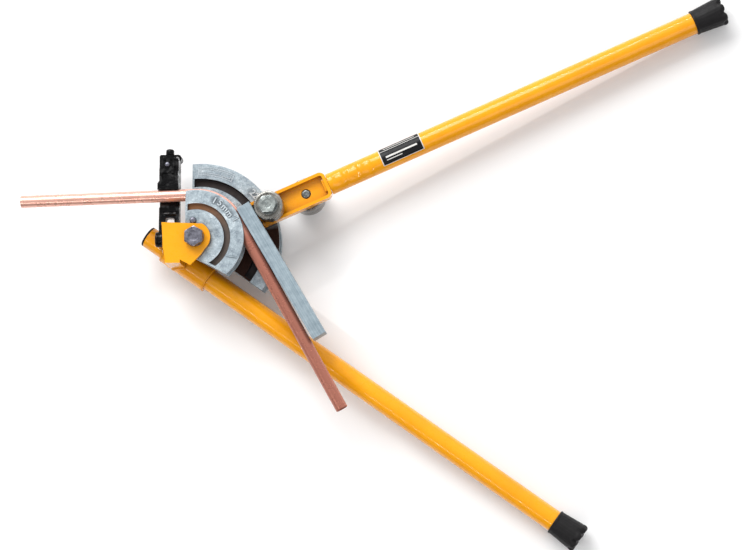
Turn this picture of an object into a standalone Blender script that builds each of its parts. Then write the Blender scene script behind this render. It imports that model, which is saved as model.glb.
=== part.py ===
"""Manual tube bender for 15 mm and 22 mm copper tube, with a length of 15 mm tube in it.

Frame: the pivot axis is Z, the origin is the pivot bolt's flat lower end, +Z points to the front
cheek and the bolt's head.  Lengths below are in millimetres and are scaled to metres on building.
"""
import bpy
import bmesh
from math import cos, sin, pi, radians, degrees, atan2, acos, sqrt
from mathutils import Matrix, Vector

MM = 0.001
GAP = 0.3

# pivot bolt and cheeks
BOLT_R = 7.0
HEX_AF = 22.0
NUT_Z = (3.0, 14.5)
REAR_CHEEK_Z = (16.3, 21.3)
FRONT_CHEEK_Z = (89.3, 94.3)
BOLT_HEAD_Z = (96.6, 105.4)

# formers
FORMER_22_Z = (21.8, 51.8)
FORMER_22_R = 98.8
BEND_22_R = 90.0
GROOVE_22_R = 11.2
FORMER_15_Z = (66.8, 88.8)
FORMER_15_R = 59.6
BEND_15_R = 55.0
GROOVE_15_R = 7.8

# fixed handle
FIXED_DEG = -35.3
FIXED_OFFSET = -30.5
FIXED_Z = 35.0
TUBE_R = 13.5
TUBE_BORE_R = 12.0
FIXED_SPAN = (-59.8, 587.0)
COLLAR_SPAN = (-32.0, 34.5)
COLLAR_R = 16.8

# lever
LEVER_DEG = 23.4
LEVER_Z = 54.8
LINK_Z = (52.3, 57.3, 66.3)
LINK_HALF = 17.0
LINK_END = 174.6
LEVER_SPAN = (175.0, 700.0)
ROLLER_15_AT = (97.4, 0.6)
ROLLER_15_R = 17.9
ROLLER_22_AT = (144.3, 0.4)
ROLLER_22_R = 21.0
CAP_LENGTH = 38.0
LEVER_CAP_LENGTH = 40.5

# guide: distance of its two long faces from the pivot, and its ends along its length
GUIDE_DEG = -59.6
GUIDE_FACES = (61.0, 78.6)
GUIDE_ENDS = (-5.0, 182.0)

# stop
STOP_X = (-49.3, -24.5)
WEB_X = (-40.5, -30.5)
STOP_PIN = (2.8, 59.0)
STOP_PIN_R = 5.0
SADDLE_AT = (-36.0, 92.0)

# copper tube
COPPER_R = 7.5
COPPER_BORE_R = 6.8
COPPER_TAIL_DEG = 1.5
COPPER_EXIT_DEG = -61.0
COPPER_TAIL = 217.9
COPPER_LEG = 270.4

for old in list(bpy.data.objects):
    bpy.data.objects.remove(old, do_unlink=True)

cutters = bpy.data.collections.new("cutters")
bpy.context.scene.collection.children.link(cutters)


# ---------------------------------------------------------------- helpers

def polar(r, deg, z=0.0):
    """Point at radius r and angle deg about the pivot axis."""
    return Vector((r * cos(radians(deg)), r * sin(radians(deg)), z))


def material(name, rgb, metallic, roughness):
    mat = bpy.data.materials.new(name)
    mat.use_nodes = True
    bsdf = mat.node_tree.nodes["Principled BSDF"]
    bsdf.inputs["Base Color"].default_value = (*rgb, 1.0)
    bsdf.inputs["Metallic"].default_value = metallic
    bsdf.inputs["Roughness"].default_value = roughness
    return mat


def mesh_object(name, verts, faces, cutter=False):
    """Closed mesh from points in millimetres; a cutter goes in its own hidden collection."""
    mesh = bpy.data.meshes.new(name)
    mesh.from_pydata([tuple(c * MM for c in v) for v in verts], [], faces)
    bm = bmesh.new()
    bm.from_mesh(mesh)
    bmesh.ops.remove_doubles(bm, verts=bm.verts, dist=1e-7)
    bmesh.ops.recalc_face_normals(bm, faces=bm.faces)
    bm.to_mesh(mesh)
    bm.free()
    obj = bpy.data.objects.new(name, mesh)
    if cutter:
        cutters.objects.link(obj)
        obj.hide_render = True
        obj.display_type = "WIRE"
    else:
        bpy.context.scene.collection.objects.link(obj)
    return obj


def loft(name, rings, cutter=False, close=False):
    """Skin a list of equal-length rings; the ends are capped unless the loft closes on itself."""
    count = len(rings[0])
    verts = [p for ring in rings for p in ring]
    faces = []
    steps = len(rings) if close else len(rings) - 1
    for k in range(steps):
        a, b = k * count, ((k + 1) % len(rings)) * count
        for i in range(count):
            j = (i + 1) % count
            faces.append((a + i, a + j, b + j, b + i))
    if not close:
        faces.append(tuple(range(count - 1, -1, -1)))
        faces.append(tuple(range((len(rings) - 1) * count, len(rings) * count)))
    return mesh_object(name, verts, faces, cutter)


def prism(name, outline, z0, z1, cutter=False):
    """Outline in X and Y, extruded from z0 to z1."""
    return loft(name, [[(x, y, z) for x, y in outline] for z in (z0, z1)], cutter)


def frame_axes(direction):
    """Two unit vectors square to a direction, the second one as near to Z as it can be."""
    d = Vector(direction).normalized()
    up = Vector((0, 0, 1)) if abs(d.z) < 0.9 else Vector((1, 0, 0))
    side = d.cross(up).normalized()
    return side, side.cross(d).normalized()


def lathe(name, start, direction, profile, segments=40, cutter=False):
    """Solid of revolution: profile is (distance along the axis, radius), bottom to top, r > 0."""
    d = Vector(direction).normalized()
    side, up = frame_axes(d)
    rings = []
    for s, r in profile:
        centre = Vector(start) + d * s
        rings.append([
            tuple(centre + side * (r * cos(2 * pi * i / segments)) + up * (r * sin(2 * pi * i / segments)))
            for i in range(segments)
        ])
    return loft(name, rings, cutter)


def ring_lathe(name, start, direction, section, segments=40, cutter=False):
    """Ring of revolution: section is a closed loop of (distance along the axis, radius)."""
    d = Vector(direction).normalized()
    side, up = frame_axes(d)
    rings = []
    for i in range(segments):
        t = 2 * pi * i / segments
        out = side * cos(t) + up * sin(t)
        rings.append([tuple(Vector(start) + d * s + out * r) for s, r in section])
    return loft(name, rings, cutter, close=True)


def hex_prism(name, centre, z0, z1, af, turn=30.0, cutter=False):
    r = af / 2 / cos(pi / 6)
    pts = [(centre[0] + r * cos(radians(60 * i + turn)), centre[1] + r * sin(radians(60 * i + turn)))
           for i in range(6)]
    return prism(name, pts, z0, z1, cutter)


def boolean(obj, other, operation="DIFFERENCE"):
    mod = obj.modifiers.new(operation.lower() + "_" + other.name, "BOOLEAN")
    mod.operation = operation
    mod.solver = "EXACT"
    mod.object = other


def box(name, x, y, z, cutter=False):
    return prism(name, [(x[0], y[0]), (x[1], y[0]), (x[1], y[1]), (x[0], y[1])], z[0], z[1], cutter)


def arc(r, a0, a1, count, centre=(0.0, 0.0)):
    return [(centre[0] + r * cos(radians(a0 + (a1 - a0) * i / count)),
             centre[1] + r * sin(radians(a0 + (a1 - a0) * i / count))) for i in range(count + 1)]


def cut_hole(obj, name, at, r, z0, z1, segments=32):
    boolean(obj, lathe(name, (at[0], at[1], z0), (0, 0, 1), [(0, r), (z1 - z0, r)], segments, True))


def smooth(obj, deg=32.0):
    """Round faces are shaded smooth, with edges sharper than the given angle kept sharp."""
    for face in obj.data.polygons:
        face.use_smooth = True
    bm = bmesh.new()
    bm.from_mesh(obj.data)
    for edge in bm.edges:
        if len(edge.link_faces) == 2:
            edge.smooth = edge.calc_face_angle(0.0) < radians(deg)
    bm.to_mesh(obj.data)
    bm.free()


yellow = material("yellow_paint", (0.93, 0.40, 0.015), 0.0, 0.32)
steel = material("bolt_steel", (0.16, 0.16, 0.19), 0.9, 0.45)
nickel = material("roller_steel", (0.42, 0.42, 0.40), 0.9, 0.35)
cast = material("cast_aluminium", (0.45, 0.52, 0.57), 0.8, 0.45)
extruded = material("guide_aluminium", (0.36, 0.43, 0.48), 0.8, 0.4)
rubber = material("black_rubber", (0.02, 0.018, 0.02), 0.0, 0.6)
black = material("black_enamel", (0.012, 0.012, 0.013), 0.0, 0.25)
print_black = material("label_print", (0.02, 0.02, 0.02), 0.0, 0.35)
copper = material("copper", (0.80, 0.42, 0.28), 1.0, 0.25)
bronze = material("bronze", (0.55, 0.36, 0.14), 0.9, 0.4)

# ---------------------------------------------------------------- fixed handle and collar

fixed_u = polar(1.0, FIXED_DEG)
fixed_n = polar(1.0, FIXED_DEG + 90.0)
fixed_foot = fixed_n * FIXED_OFFSET + Vector((0, 0, FIXED_Z))


def on_fixed(s):
    return fixed_foot + fixed_u * s


def tube(name, start, direction, length, r, bore, segments=32):
    return ring_lathe(name, start, direction, [(0, bore), (0, r), (length, r), (length, bore)], segments)


def grip_cap(name, start, direction, length):
    """Rubber cap: flared socket, closed at the far end, with a lip at its mouth."""
    wall = [(0.0, 13.8), (0.0, 15.2), (1.2, 15.8), (3.0, 15.5), (length * 0.75, 17.4),
            (length * 0.88, 18.0), (length * 0.96, 17.2), (length, 14.5)]
    body = lathe(name, start, direction, [(s, r) for s, r in wall if (s, r) != (0.0, 13.8)], 32)
    boolean(body, lathe(name + "_socket", Vector(start) - Vector(direction) * 1.0, direction,
                        [(0, 13.8), (1.0 + length - 3.5, 13.8)], 32, True))
    return body


fixed_handle_tube = tube("fixed_handle_tube", on_fixed(FIXED_SPAN[0]), fixed_u,
                         FIXED_SPAN[1] - FIXED_SPAN[0], TUBE_R, TUBE_BORE_R)
fixed_handle_cap = grip_cap("fixed_handle_cap", on_fixed(552.5), fixed_u, CAP_LENGTH)
fixed_handle_plug = lathe("fixed_handle_plug", on_fixed(-62.4), fixed_u,
                          [(0, 12.3), (0.8, 13.3), (2.3, 13.3), (2.3, 11.6), (14.0, 11.2)], 32)
handle_collar = tube("handle_collar", on_fixed(COLLAR_SPAN[0]), fixed_u,
                     COLLAR_SPAN[1] - COLLAR_SPAN[0], COLLAR_R, TUBE_R + GAP, 40)
collar_clear = lathe("collar_clear", on_fixed(-120.0), fixed_u, [(0, 17.1), (240, 17.1)], 40, True)

# ---------------------------------------------------------------- cheeks, web, pivot

front_outline = ([(-41.0, 19.0), (-38.8, -14.0), (-36.5, -26.5), (-18.0, -27.5), (-5.3, -34.2), (8.0, -21.0)]
                 + arc(19.0, -48.0, 62.0, 14) + [(4.5, 16.9)])
front_cheek = prism("front_cheek", front_outline, *FRONT_CHEEK_Z)
leg = box("cheek_leg", (-36.5, -18.0), (-31.5, -26.6), (45.0, FRONT_CHEEK_Z[1]), True)
boolean(front_cheek, leg, "UNION")
boolean(front_cheek, collar_clear)
cut_hole(front_cheek, "front_cheek_bore", (0, 0), BOLT_R + GAP, 80, 100)

line_a = fixed_n * -20.4 + fixed_u * -25.0
line_b = fixed_n * -20.4 + fixed_u * 25.0
rear_cheek = prism("rear_cheek", [(line_a.x, line_a.y), (line_b.x, line_b.y)] + arc(22.0, -40, 150, 20),
                   *REAR_CHEEK_Z)
cut_hole(rear_cheek, "rear_cheek_bore", (0, 0), BOLT_R + GAP, 10, 30)
cut_hole(rear_cheek, "rear_dowel_hole", (10.5, 10.5), 4.3, 10, 30)

frame_web = box("frame_web", WEB_X, (-12.0, 18.0), (40.0, FRONT_CHEEK_Z[0] - GAP))
boolean(frame_web, collar_clear)
boolean(frame_web, lathe("web_bore", (-60, *STOP_PIN), (1, 0, 0), [(0, 5.3), (60, 5.3)], 32, True))

pivot_bolt = lathe("pivot_bolt", (0, 0, 0), (0, 0, 1),
                   [(0, BOLT_R - 1.0), (1.0, BOLT_R), (BOLT_HEAD_Z[0] + 1.0, BOLT_R)], 32)
pivot_head = hex_prism("pivot_head", (0, 0), BOLT_HEAD_Z[0], BOLT_HEAD_Z[1] - 0.8, HEX_AF, 90.0, True)
boolean(pivot_bolt, pivot_head, "UNION")
boolean(pivot_bolt, lathe("pivot_head_face", (0, 0, BOLT_HEAD_Z[1] - 1.0), (0, 0, 1),
                          [(0, 10.4), (0.2, 10.4), (1.0, 9.8)], 32, True), "UNION")


def washer(name, at, z0, z1, r, bore):
    return ring_lathe(name, (at[0], at[1], z0), (0, 0, 1), [(0, bore), (0, r), (z1 - z0, r), (z1 - z0, bore)], 32)


pivot_washer_front = washer("pivot_washer_front", (0, 0), 94.6, 96.3, 13.4, BOLT_R + GAP)
pivot_washer_rear = washer("pivot_washer_rear", (0, 0), 14.8, 16.0, 14.0, BOLT_R + GAP)
pivot_nut = hex_prism("pivot_nut", (0, 0), *NUT_Z, HEX_AF, 90.0)
cut_hole(pivot_nut, "pivot_nut_bore", (0, 0), BOLT_R + GAP, 0, 20)

# ---------------------------------------------------------------- formers


def former_disc(name, r, z, bend_r, groove_r):
    """Disc with a U-shaped groove round its rim, centred on the tube's bend radius."""
    mid = (z[0] + z[1]) / 2
    groove = [(bend_r + groove_r * cos(radians(a)), mid + groove_r * sin(radians(a)))
              for a in range(-90, -271, -15)]
    rim = [(r - 0.8, z[0]), (r, z[0] + 0.8), (r, mid - groove_r)] + groove + [
        (r, mid + groove_r), (r, z[1] - 0.8), (r - 0.8, z[1])]
    return lathe(name, (0, 0, 0), (0, 0, 1), [(s, q) for q, s in rim], 128)


def limits(left_x, line_deg, line_at, lobe_r, inset=0.0):
    """Outline right of left_x and above a slanting line, with an optional lobe round the pivot."""
    n = polar(1.0, line_deg + 90.0)
    u = polar(1.0, line_deg)
    x, off = left_x + inset, line_at + inset
    far = n * off + u * 140.0
    pts = [(far.x, far.y), (140.0, 140.0), (x, 140.0)]
    if lobe_r:
        a0 = degrees(acos(x / lobe_r))
        a1 = 360.0 + line_deg + 90.0 - degrees(acos(off / lobe_r))
        pts += arc(lobe_r, a0, a1, 16)
    else:
        s = (x - off * n.x) / u.x
        pts += [(x, off * n.y + s * u.y)]
    return pts


def recess(former, name, r0, r1, z0, z1, outline):
    """Sunk ring in the front face, stopping short of the former's two ends."""
    ring = ring_lathe(name, (0, 0, 0), (0, 0, 1), [(z0, r0), (z0, r1), (z1, r1 + 0.6), (z1, r0 - 0.6)], 96, True)
    boolean(ring, prism(name + "_limits", outline, z0 - 1, z1 + 1, True), "INTERSECT")
    boolean(former, ring)


former_22 = former_disc("former_22", FORMER_22_R, FORMER_22_Z, BEND_22_R, GROOVE_22_R)
boolean(former_22, prism("former_22_limits", limits(-10.2, FIXED_DEG, -4.7, 13.0), 10, 60, True), "INTERSECT")
recess(former_22, "former_22_recess", 70.0, 79.3, FORMER_22_Z[1] - 7.0, FORMER_22_Z[1] + 2.0,
       limits(-10.2, FIXED_DEG, -4.7, 0, 2.5))
cut_hole(former_22, "former_22_bore", (0, 0), BOLT_R + GAP, 10, 60)
cut_hole(former_22, "former_22_dowel", (10.5, 10.5), 4.3, 10, 28.5)

former_15 = former_disc("former_15", FORMER_15_R, FORMER_15_Z, BEND_15_R, GROOVE_15_R)
boolean(former_15, prism("former_15_limits", limits(-12.6, -28.0, -21.9, 0), 60, 95, True), "INTERSECT")
recess(former_15, "former_15_recess", 35.5, 42.6, FORMER_15_Z[1] - 5.0, FORMER_15_Z[1] + 2.0,
       limits(-12.6, -28.0, -21.9, 0, 2.5))
cut_hole(former_15, "former_15_bore", (0, 0), BOLT_R + GAP, 60, 95)
cut_hole(former_15, "former_15_dowel", (-3.0, 21.5), 4.1, 84, 95)

front_dowel = lathe("front_dowel", (-3.0, 21.5, 84.3), (0, 0, 1), [(0, 3.8), (6.6, 3.8), (7.6, 2.8)], 24)
rear_dowel = lathe("rear_dowel", (10.5, 10.5, 17.0), (0, 0, 1), [(0, 3.2), (0.8, 4.0), (11.0, 4.0)], 24)

# ---------------------------------------------------------------- lever

lever_u = polar(1.0, LEVER_DEG)
lever_v = polar(1.0, LEVER_DEG + 90.0)


def on_lever(r, across=0.0, z=0.0):
    return lever_u * r + lever_v * across + Vector((0, 0, z))


def lever_outline(half, end, nose, back):
    """Round at the pivot, straight sides, rounded corners at the far end."""
    pts = arc(nose, -90, 0, 5, (end - nose, -half + nose)) + arc(nose, 0, 90, 5, (end - nose, half - nose))
    pts += arc(back, 90, 270, 16)
    return [tuple(on_lever(x, y).xy) for x, y in pts]


lever_link = prism("lever_link", lever_outline(LINK_HALF, LINK_END, 7.5, LINK_HALF), LINK_Z[0], LINK_Z[2])
pocket = [(LINK_END - 4, -5.5), (LINK_END - 4, 5.5), (LINK_END - 10, 13.0), (16.0, 13.0), (16.0, -13.0),
          (LINK_END - 10, -13.0)]
boolean(lever_link, prism("link_pocket", [tuple(on_lever(x, y).xy) for x, y in pocket], LINK_Z[1], 70, True))
slot = [(160, -8.4), (190, -8.4), (190, 8.4), (160, 8.4)]
boolean(lever_link, prism("link_slot", [tuple(on_lever(x, y).xy) for x, y in slot], 57.3, 64.4, True))
roller_15_xy = on_lever(*ROLLER_15_AT).xy
roller_22_xy = on_lever(*ROLLER_22_AT).xy
cut_hole(lever_link, "link_bore", (0, 0), 11.3, 40, 80)
cut_hole(lever_link, "link_hole_15", roller_15_xy, 6.3, 40, 80)
cut_hole(lever_link, "link_hole_22", roller_22_xy, 5.1, 40, 80)

pivot_bush = washer("pivot_bush", (0, 0), 52.15, 66.45, 11.0, BOLT_R + GAP)
bar = [(167.6, -8.0), (232, -8.0), (232, 8.0), (167.6, 8.0)]
lever_shank = prism("lever_shank", [tuple(on_lever(x, y).xy) for x, y in bar], 57.6, 63.4)
lever_handle_tube = tube("lever_handle_tube", on_lever(LEVER_SPAN[0], 0, LEVER_Z), lever_u,
                         LEVER_SPAN[1] - LEVER_SPAN[0], TUBE_R, TUBE_BORE_R)
lever_handle_cap = grip_cap("lever_handle_cap", on_lever(664.5, 0, LEVER_Z), lever_u, LEVER_CAP_LENGTH)


def wrap_label(name, s0, s1, r0, r1, deg0, deg1, count=14):
    rings = []
    for i in range(count + 1):
        t = radians(deg0 + (deg1 - deg0) * i / count)
        ring = [(s0, r0), (s0, r1), (s1, r1), (s1, r0)]
        rings.append([tuple(on_lever(s, r * cos(t), LEVER_Z + r * sin(t))) for s, r in ring])
    return loft(name, rings)


lever_label = wrap_label("lever_label", 246.0, 300.5, TUBE_R + 0.2, TUBE_R + 0.5, 18.0, 132.0)

roller_15_bolt = lathe("roller_15_bolt", (*roller_15_xy, 52.6), (0, 0, 1),
                       [(0, 5.2), (0.8, 6.0), (38.6, 6.0), (39.6, 6.0)], 32)
boolean(roller_15_bolt, hex_prism("roller_bolt_head", roller_15_xy, 90.9, 98.6, 20.0, 12.0, True), "UNION")
roller_15_spacer = washer("roller_15_spacer", roller_15_xy, 57.6, 66.5, 10.0, 6.3)
roller_15_washer = washer("roller_15_washer", roller_15_xy, 89.0, 90.6, 12.0, 6.3)
roller_22_pin = lathe("roller_22_pin", (*roller_22_xy, 17.6), (0, 0, 1),
                      [(0, 7.0), (1.0, 8.0), (3.8, 8.0), (3.8, 4.8), (40.6, 4.8), (41.4, 4.0)], 32)


def roller(name, at, r, z, bore, rings):
    """Roller with an eased rim and turned rings in both end faces."""
    x, y = at
    low = [(z[0], bore)] + [(z[0] + dz, q) for q, dz in rings] + [(z[0], r - 1.2), (z[0] + 1.2, r)]
    high = [(z[1] - 1.2, r), (z[1], r - 1.2)] + [(z[1] - dz, q) for q, dz in reversed(rings)] + [(z[1], bore)]
    return ring_lathe(name, (x, y, 0), (0, 0, 1), low + high, 48)


roller_15 = roller("roller_15", roller_15_xy, ROLLER_15_R, (66.9, 88.7), 6.08,
                   [(12.6, 0.0), (13.0, 1.0), (14.6, 1.0), (15.0, 0.0)])
roller_22 = roller("roller_22", roller_22_xy, ROLLER_22_R, (21.8, 51.8), 4.88,
                   [(11.5, 0.0), (12.0, 1.5), (17.0, 1.5), (17.5, 0.0)])

# ---------------------------------------------------------------- guide

guide_t = polar(1.0, GUIDE_DEG)
guide_n = polar(1.0, GUIDE_DEG + 90.0)
guide_mid = (FORMER_15_Z[0] + FORMER_15_Z[1]) / 2
groove_half = sqrt(GROOVE_15_R ** 2 - (GUIDE_FACES[0] - BEND_15_R) ** 2)


def guide_section():
    """Bar with a shallow tube groove in its inner face and eased outer corners."""
    n0, n1 = GUIDE_FACES
    z0, z1 = FORMER_15_Z
    pts = [(n0, z0), (n1 - 1.0, z0), (n1, z0 + 1.0), (n1, z1 - 1.0), (n1 - 1.0, z1), (n0 + 0.6, z1), (n0, z1 - 0.6)]
    half_deg = degrees(atan2(groove_half, GUIDE_FACES[0] - BEND_15_R))
    for i in range(9):
        t = radians(half_deg - 2 * half_deg * i / 8)
        pts.append((BEND_15_R + GROOVE_15_R * cos(t), guide_mid + GROOVE_15_R * sin(t)))
    return pts


guide_15 = loft("guide_15", [
    [tuple(guide_n * n + guide_t * s + Vector((0, 0, z))) for n, z in guide_section()] for s in GUIDE_ENDS])

# ---------------------------------------------------------------- stop

x0, x1 = STOP_X
fork_l, fork_r, foot_y = WEB_X[0] - 0.45, WEB_X[1] + 0.45, STOP_PIN[0] + 1.0
arm_outline = [(x0, foot_y), (fork_l, foot_y), (fork_l, 33.0), (-38.0, 37.0), (-33.0, 37.0),
               (fork_r, 33.0), (fork_r, foot_y), (x1, foot_y), (x1, 98.5)]
arm_outline += arc(5.2, -55, 110, 10, (-27.0, 103.0)) + [(-31.0, 108.0), (x0 + 1.5, 108.0), (x0, 106.5)]
stop_arm = prism("stop_arm", arm_outline, 52.3, 65.3)
for side, (a, b) in {"left": (x0 - 0.2, WEB_X[0] - GAP), "right": (WEB_X[1] + GAP, x1 + 0.2)}.items():
    boolean(stop_arm, lathe("stop_foot_" + side, (a, *STOP_PIN), (1, 0, 0), [(0, 9.5), (b - a, 9.5)], 40, True),
            "UNION")
boolean(stop_arm, box("stop_hook", (x0 + 1.3, -30.3), (102.4, 107.3), (30.0, 55.0), True), "UNION")
boolean(stop_arm, lathe("stop_foot_bore", (-60, *STOP_PIN), (1, 0, 0), [(0, 5.3), (60, 5.3)], 32, True))
cut_hole(stop_arm, "stop_eye", (-26.6, 103.2), 2.1, 50, 70, 20)
cut_hole(stop_arm, "stop_saddle_hole", SADDLE_AT, 3.3, 40, 80, 24)
boolean(stop_arm, lathe("stop_screw_hole", (-37.3, 96.5, 58.8), (0, 1, 0), [(0, 3.3), (20, 3.3)], 20, True))

stop_pivot_pin = lathe("stop_pivot_pin", (-53.9, *STOP_PIN), (1, 0, 0),
                       [(0, 8.3), (1.2, 9.5), (4.0, 9.5), (4.0, STOP_PIN_R), (31.9, STOP_PIN_R), (32.7, 4.2)], 40)
stop_clip = ring_lathe("stop_clip", (-24.0, *STOP_PIN), (1, 0, 0), [(0, 5.25), (0, 8.2), (1.4, 8.2), (1.4, 5.25)], 32)
stop_top_screw = lathe("stop_top_screw", (-37.3, 99.5, 58.8), (0, 1, 0),
                       [(0, 3.0), (8.9, 3.0), (8.9, 5.2), (14.5, 5.2), (16.5, 3.6)], 24)
saddle_pin = lathe("saddle_pin", (*SADDLE_AT, 53.0), (0, 0, 1), [(0, 3.0), (34.0, 3.0), (34.8, 2.4)], 24)

saddle_outline = [(-48.4, 56.5), (-22.2, 57.2), (-22.2, 69.0), (-22.9, 72.0), (-22.9, 99.0), (-24.9, 101.0),
                  (-44.2, 101.0), (-46.2, 99.0), (-46.2, 72.0), (-48.4, 69.0)]
stop_saddle = prism("stop_saddle", saddle_outline, 65.6, 84.6)
tail_u = polar(1.0, COPPER_TAIL_DEG)
tail_n = polar(1.0, COPPER_TAIL_DEG + 90.0)
copper_z = guide_mid
tail_mid = tail_n * BEND_15_R + Vector((0, 0, copper_z))
boolean(stop_saddle, lathe("saddle_groove", tail_mid - tail_u * 80.0, tail_u, [(0, 8.3), (80, 8.3)], 40, True))
boolean(stop_saddle, box("saddle_relief", (-60, -10), (40.0, 61.2), (60, 95), True))
cut_hole(stop_saddle, "saddle_hole", SADDLE_AT, 3.08, 60, 95, 24)

# ---------------------------------------------------------------- copper tube

exit_u = polar(1.0, COPPER_EXIT_DEG)
exit_n = polar(1.0, COPPER_EXIT_DEG + 90.0)
path = [tail_mid - tail_u * COPPER_TAIL]
a_start, a_end = COPPER_TAIL_DEG + 90.0, COPPER_EXIT_DEG + 90.0
bend_steps = 20
for k in range(bend_steps + 1):
    path.append(polar(BEND_15_R, a_start + (a_end - a_start) * k / bend_steps, copper_z))
path.append(exit_n * BEND_15_R + exit_u * COPPER_LEG + Vector((0, 0, copper_z)))
headings = [COPPER_TAIL_DEG] + [COPPER_TAIL_DEG + (COPPER_EXIT_DEG - COPPER_TAIL_DEG) * k / bend_steps
                                for k in range(bend_steps + 1)] + [COPPER_EXIT_DEG]


def swept_rings(r, segments=32):
    rings = []
    for point, heading in zip(path, headings):
        out = polar(1.0, heading + 90.0)
        rings.append([tuple(point + out * (r * cos(2 * pi * i / segments))
                            + Vector((0, 0, r * sin(2 * pi * i / segments)))) for i in range(segments)])
    return rings


copper_tube = loft("copper_tube", swept_rings(COPPER_R) + swept_rings(COPPER_BORE_R)[::-1], close=True)

# ---------------------------------------------------------------- materials and joints

finish = {
    yellow: [fixed_handle_tube, handle_collar, front_cheek, rear_cheek, frame_web, lever_link, lever_shank,
             lever_handle_tube],
    steel: [pivot_bolt, pivot_nut, pivot_washer_front, pivot_washer_rear, front_dowel, rear_dowel,
            roller_15_bolt, roller_15_washer, roller_15_spacer, roller_22_pin, stop_clip, saddle_pin],
    nickel: [roller_15, roller_22],
    cast: [former_15, former_22],
    extruded: [guide_15],
    rubber: [fixed_handle_cap, fixed_handle_plug, lever_handle_cap],
    black: [stop_arm, stop_saddle, stop_pivot_pin, stop_top_screw],
    print_black: [lever_label],
    copper: [copper_tube],
    bronze: [pivot_bush],
}
for mat, group in finish.items():
    for obj in group:
        obj.data.materials.append(mat)
        smooth(obj)


def set_origin(obj, point):
    """Move an object's origin onto its joint axis and leave its shape where it is."""
    at = Vector(point) * MM
    obj.data.transform(Matrix.Translation(-at))
    obj.location = at


set_origin(roller_15, (*roller_15_xy, 77.8))
set_origin(roller_22, (*roller_22_xy, 36.8))
set_origin(guide_15, guide_n * GUIDE_FACES[1] + Vector((0, 0, guide_mid)))
set_origin(stop_arm, (-35.5, *STOP_PIN))
set_origin(stop_saddle, (*SADDLE_AT, 76.0))
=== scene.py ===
from math import cos, sin, pi, radians, degrees, atan2, acos, sqrt

import bmesh
import bpy
from mathutils import Matrix, Vector, noise


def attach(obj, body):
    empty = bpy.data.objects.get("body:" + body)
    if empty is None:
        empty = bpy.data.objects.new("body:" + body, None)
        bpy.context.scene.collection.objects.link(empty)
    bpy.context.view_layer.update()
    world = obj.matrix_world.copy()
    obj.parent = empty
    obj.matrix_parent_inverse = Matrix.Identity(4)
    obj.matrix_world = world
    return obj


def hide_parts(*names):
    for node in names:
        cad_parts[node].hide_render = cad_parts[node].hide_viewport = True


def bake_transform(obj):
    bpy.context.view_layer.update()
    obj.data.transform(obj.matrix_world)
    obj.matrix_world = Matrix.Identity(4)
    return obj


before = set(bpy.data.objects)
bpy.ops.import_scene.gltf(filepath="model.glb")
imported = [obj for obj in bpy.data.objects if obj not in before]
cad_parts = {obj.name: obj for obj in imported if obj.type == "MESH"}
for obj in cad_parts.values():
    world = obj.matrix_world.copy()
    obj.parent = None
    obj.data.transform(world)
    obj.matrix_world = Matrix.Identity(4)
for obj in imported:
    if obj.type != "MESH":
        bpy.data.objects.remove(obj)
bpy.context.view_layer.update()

MM = 0.001

# Main sizes of the CAD model, in millimetres.
BOLT_R, GAP = 7.0, 0.3
FORMER_22_Z, FORMER_22_R, BEND_22_R, GROOVE_22_R = (21.8, 51.8), 98.8, 90.0, 11.2
FORMER_15_Z, FORMER_15_R, BEND_15_R, GROOVE_15_R = (66.8, 88.8), 59.6, 55.0, 7.8
FIXED_DEG, FIXED_OFFSET, FIXED_Z = -35.3, -30.5, 35.0
LEVER_DEG, LEVER_Z = 23.4, 54.8
LINK_Z, LINK_HALF, LINK_END = (52.3, 57.3, 66.3), 17.0, 174.6
GUIDE_DEG, GUIDE_FACES, GUIDE_ENDS = -59.6, (61.0, 78.6), (-5.0, 182.0)
STOP_X, WEB_X, STOP_PIN, SADDLE_AT = (-49.3, -24.5), (-40.5, -30.5), (2.8, 59.0), (-36.0, 92.0)
TAIL_DEG, EXIT_DEG, TAIL_LENGTH, EXIT_LENGTH = 1.5, -61.0, 217.9, 270.4
COPPER_Z = 77.8

scrap = []


# ---------------------------------------------------------------- shapes

def polar(r, deg, z=0.0):
    return Vector((r * cos(radians(deg)), r * sin(radians(deg)), z))


def mesh_object(name, verts, faces):
    mesh = bpy.data.meshes.new(name)
    mesh.from_pydata([tuple(c * MM for c in v) for v in verts], [], faces)
    bm = bmesh.new()
    bm.from_mesh(mesh)
    bmesh.ops.remove_doubles(bm, verts=bm.verts, dist=1e-7)
    bmesh.ops.recalc_face_normals(bm, faces=bm.faces)
    bm.to_mesh(mesh)
    bm.free()
    obj = bpy.data.objects.new(name, mesh)
    bpy.context.scene.collection.objects.link(obj)
    return obj


def loft(name, rings, close=False):
    count = len(rings[0])
    verts = [p for ring in rings for p in ring]
    faces = []
    for k in range(len(rings) if close else len(rings) - 1):
        a, b = k * count, ((k + 1) % len(rings)) * count
        faces += [(a + i, a + (i + 1) % count, b + (i + 1) % count, b + i) for i in range(count)]
    if not close:
        faces += [tuple(range(count - 1, -1, -1)), tuple(range((len(rings) - 1) * count, len(rings) * count))]
    return mesh_object(name, verts, faces)


def cutter(obj):
    scrap.append(obj)
    return obj


def prism(name, outline, z0, z1):
    return loft(name, [[(x, y, z) for x, y in outline] for z in (z0, z1)])


def axes_of(direction):
    d = Vector(direction).normalized()
    up = Vector((0, 0, 1)) if abs(d.z) < 0.9 else Vector((1, 0, 0))
    side = d.cross(up).normalized()
    return side, side.cross(d).normalized()


def lathe(name, start, direction, profile, segments=96):
    d = Vector(direction).normalized()
    side, up = axes_of(d)
    return loft(name, [[tuple(Vector(start) + d * s + side * (r * cos(2 * pi * i / segments))
                              + up * (r * sin(2 * pi * i / segments))) for i in range(segments)]
                       for s, r in profile])


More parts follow.
